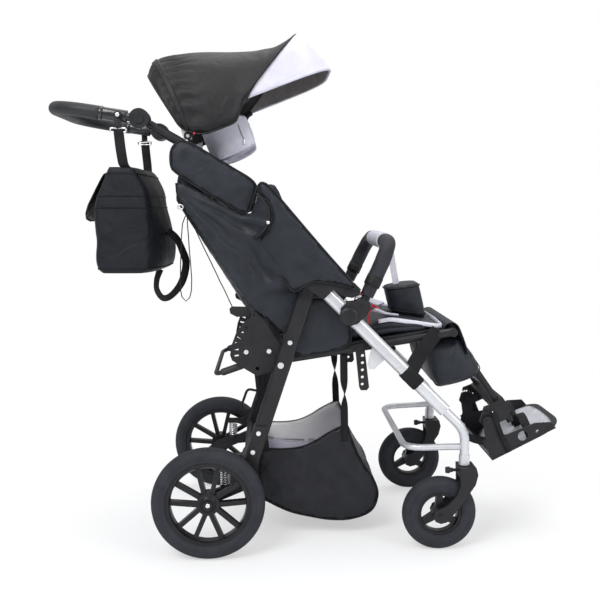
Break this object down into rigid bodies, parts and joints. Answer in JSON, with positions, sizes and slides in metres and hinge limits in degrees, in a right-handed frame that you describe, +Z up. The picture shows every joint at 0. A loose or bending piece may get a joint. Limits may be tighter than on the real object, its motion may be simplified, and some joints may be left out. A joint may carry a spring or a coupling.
{
  "type": "special needs buggy",
  "caption": "Folding special needs buggy: padded reclining seat with hood, headrest, bumper bar, leg rest, sprung rear wheels, swivel casters, basket and bag.",
  "frame": {"origin": "middle of the overall footprint, on the floor", "axes": "+X forward, the way the child faces; +Y to the child's left; +Z up"},
  "size_m": [1.3732, 0.596, 1.347],
  "materials": {
    "silver_tube": "satin silver coat",
    "black_frame": "satin black powder coat",
    "black_plastic": "fine moulded grain",
    "rim_plastic": "semi-gloss moulded",
    "tyre": "matt rubber",
    "spring_steel": "bright wire",
    "bolt_steel": "zinc plated",
    "seat_fabric": "padded charcoal cloth",
    "grey_fabric": "lavender grey cloth",
    "hood_fabric": "black coated cloth",
    "bag_fabric": "black coated cloth",
    "basket_fabric": "black cloth",
    "webbing": "ribbed webbing",
    "cord": "elastic cord",
    "bumper_foam": "foam cover",
    "grip_foam": "fine foam grip"
  },
  "bodies": {
    "chassis": {"front_tube_right": "silver_tube", "front_tube_left": "silver_tube", "front_cross_bar": "silver_tube", "hinge_castings": "black_plastic", "seat_frame": "black_frame", "seat_pan": "black_plastic", "seat_cushion": "seat_fabric", "side_guards": "seat_fabric", "seat_side_plates": "black_frame", "abductor_pad": "seat_fabric", "bumper_clamps": "black_plastic", "basket": "basket_fabric", "basket_straps": "webbing", "chassis_fasteners": "bolt_steel"},
    "rear_frame": {"rear_leg_right": "black_frame", "rear_leg_left": "black_frame", "rear_cross_tube": "black_frame", "rear_brackets": "black_frame", "rear_bolts": "bolt_steel"},
    "swing_arm_right": {"swing_arm_right": "black_frame", "spring_right": "spring_steel"},
    "swing_arm_left": {"swing_arm_left": "black_frame", "spring_left": "spring_steel"},
    "rear_wheel_right": {"rear_tyre_right": "tyre", "rear_rim_right": "rim_plastic"},
    "rear_wheel_left": {"rear_tyre_left": "tyre", "rear_rim_left": "rim_plastic"},
    "brake": {"brake_pedal": "black_frame"},
    "caster_right": {"caster_fork_right": "black_plastic"},
    "caster_left": {"caster_fork_left": "black_plastic"},
    "front_wheel_right": {"front_tyre_right": "tyre", "front_rim_right": "rim_plastic"},
    "front_wheel_left": {"front_tyre_left": "tyre", "front_rim_left": "rim_plastic"},
    "swivel_lock_right": {"swivel_lock_right": "black_plastic"},
    "swivel_lock_left": {"swivel_lock_left": "black_plastic"},
    "backrest": {"back_frame": "black_frame", "back_pad": "seat_fabric", "back_wings": "seat_fabric", "top_wings": "seat_fabric", "backrest_hardware": "bolt_steel", "hood_canopy": "hood_fabric", "cord_loop": "cord", "cord_stay": "cord"},
    "headrest": {"headrest_pad": "grey_fabric", "headrest_bracket": "black_plastic"},
    "hood_front": {"hood_visor": "grey_fabric"},
    "handle": {"handle_loop": "black_plastic", "handle_grip": "grip_foam"},
    "handle_button_right": {"handle_button_right": "black_plastic"},
    "handle_button_left": {"handle_button_left": "black_plastic"},
    "bag": {"bag": "bag_fabric", "bag_straps": "webbing"},
    "bumper": {"bumper_sockets": "black_plastic", "bumper_pad": "bumper_foam"},
    "legrest": {"legrest_frame": "black_frame", "calf_pad": "seat_fabric"},
    "footrest": {"footrest_clamp": "black_plastic"},
    "footplate": {"footplate": "black_plastic"},
    "release": {"release_bar": "black_frame"}
  },
  "joints": [
    {"name": "frame_fold", "type": "hinge", "parent": "chassis", "child": "rear_frame", "pos_m": [-0.01233, 0, 0.706], "axis": [0, -1, 0], "range_deg": [0, 32], "deforming": ["basket"]},
    {"name": "suspension_right", "type": "hinge", "parent": "rear_frame", "child": "swing_arm_right", "pos_m": [-0.16833, -0.236, 0.186], "axis": [0, 1, 0], "range_deg": [0, 5], "stiffness_Nm_per_rad": 200, "springref_deg": -5.73, "deforming": ["spring_right"]},
    {"name": "rear_wheel_right", "type": "hinge", "parent": "swing_arm_right", "child": "rear_wheel_right", "pos_m": [-0.27633, -0.275, 0.145], "axis": [0, 1, 0], "continuous": true},
    {"name": "caster_right", "type": "hinge", "parent": "chassis", "child": "caster_right", "pos_m": [0.38767, -0.234, 0.226], "axis": [0, 0, 1], "continuous": true},
    {"name": "front_wheel_right", "type": "hinge", "parent": "caster_right", "child": "front_wheel_right", "pos_m": [0.32367, -0.234, 0.097], "axis": [0, 1, 0], "continuous": true},
    {"name": "swivel_lock_right", "type": "slide", "parent": "caster_right", "child": "swivel_lock_right", "axis": [-1, 0, 0], "range_m": [0, 0.006], "stiffness_N_per_m": 400, "springref_m": -0.004},
    {"name": "suspension_left", "type": "hinge", "parent": "rear_frame", "child": "swing_arm_left", "pos_m": [-0.16833, 0.236, 0.186], "axis": [0, 1, 0], "range_deg": [0, 5], "stiffness_Nm_per_rad": 200, "springref_deg": -5.73, "deforming": ["spring_left"]},
    {"name": "rear_wheel_left", "type": "hinge", "parent": "swing_arm_left", "child": "rear_wheel_left", "pos_m": [-0.27633, 0.275, 0.145], "axis": [0, 1, 0], "continuous": true},
    {"name": "caster_left", "type": "hinge", "parent": "chassis", "child": "caster_left", "pos_m": [0.38767, 0.234, 0.226], "axis": [0, 0, 1], "continuous": true},
    {"name": "front_wheel_left", "type": "hinge", "parent": "caster_left", "child": "front_wheel_left", "pos_m": [0.32367, 0.234, 0.097], "axis": [0, 1, 0], "continuous": true},
    {"name": "swivel_lock_left", "type": "slide", "parent": "caster_left", "child": "swivel_lock_left", "axis": [-1, 0, 0], "range_m": [0, 0.006], "stiffness_N_per_m": 400, "springref_m": -0.004},
    {"name": "brake", "type": "hinge", "parent": "rear_frame", "child": "brake", "pos_m": [-0.17633, 0, 0.222], "axis": [0, -1, 0], "range_deg": [0, 15]},
    {"name": "recline", "type": "hinge", "parent": "chassis", "child": "backrest", "pos_m": [-0.12033, 0, 0.522], "axis": [0, -1, 0], "range_deg": [0, 45]},
    {"name": "headrest_slide", "type": "slide", "parent": "backrest", "child": "headrest", "axis": [-0.3641, 0, 0.9314], "range_m": [0, 0.03]},
    {"name": "hood_fold", "type": "hinge", "parent": "backrest", "child": "hood_front", "pos_m": [-0.32333, 0, 1.073], "axis": [0, -1, 0], "range_deg": [0, 45], "deforming": ["hood_canopy"]},
    {"name": "handle_angle", "type": "hinge", "parent": "backrest", "child": "handle", "pos_m": [-0.4401, 0, 1.11208], "axis": [0, 1, 0], "range_deg": [-40, 40]},
    {"name": "bag_swing", "type": "hinge", "parent": "handle", "child": "bag", "pos_m": [-0.49057, 0, 1.11944], "axis": [0, 1, 0], "range_deg": [-40, 40]},
    {"name": "handle_button_right", "type": "slide", "parent": "handle", "child": "handle_button_right", "axis": [0, 1, 0], "range_m": [0, 0.004], "stiffness_N_per_m": 500, "springref_m": -0.004},
    {"name": "handle_button_left", "type": "slide", "parent": "handle", "child": "handle_button_left", "axis": [0, -1, 0], "range_m": [0, 0.004], "stiffness_N_per_m": 500, "springref_m": -0.004},
    {"name": "bumper_swing", "type": "hinge", "parent": "chassis", "child": "bumper", "pos_m": [0.11567, 0, 0.642], "axis": [0, 1, 0], "range_deg": [-8, 25]},
    {"name": "legrest_lift", "type": "hinge", "parent": "chassis", "child": "legrest", "pos_m": [0.36367, 0, 0.566], "axis": [0, -1, 0], "range_deg": [-20, 40]},
    {"name": "foot_slide", "type": "slide", "parent": "legrest", "child": "footrest", "axis": [0.5736, 0, -0.8192], "range_m": [-0.02, 0.06]},
    {"name": "footplate_tilt", "type": "hinge", "parent": "footrest", "child": "footplate", "pos_m": [0.47553, 0, 0.31105], "axis": [0, -1, 0], "range_deg": [-10, 15]},
    {"name": "release_pull", "type": "hinge", "parent": "chassis", "child": "release", "pos_m": [-0.17633, 0, 0.486], "axis": [0, 1, 0], "range_deg": [0, 12], "stiffness_Nm_per_rad": 4, "springref_deg": -17.19}
  ],
  "couplings": [
    {"joint": "bag_swing", "follows": "handle_angle", "ratio": -1}
  ]
}
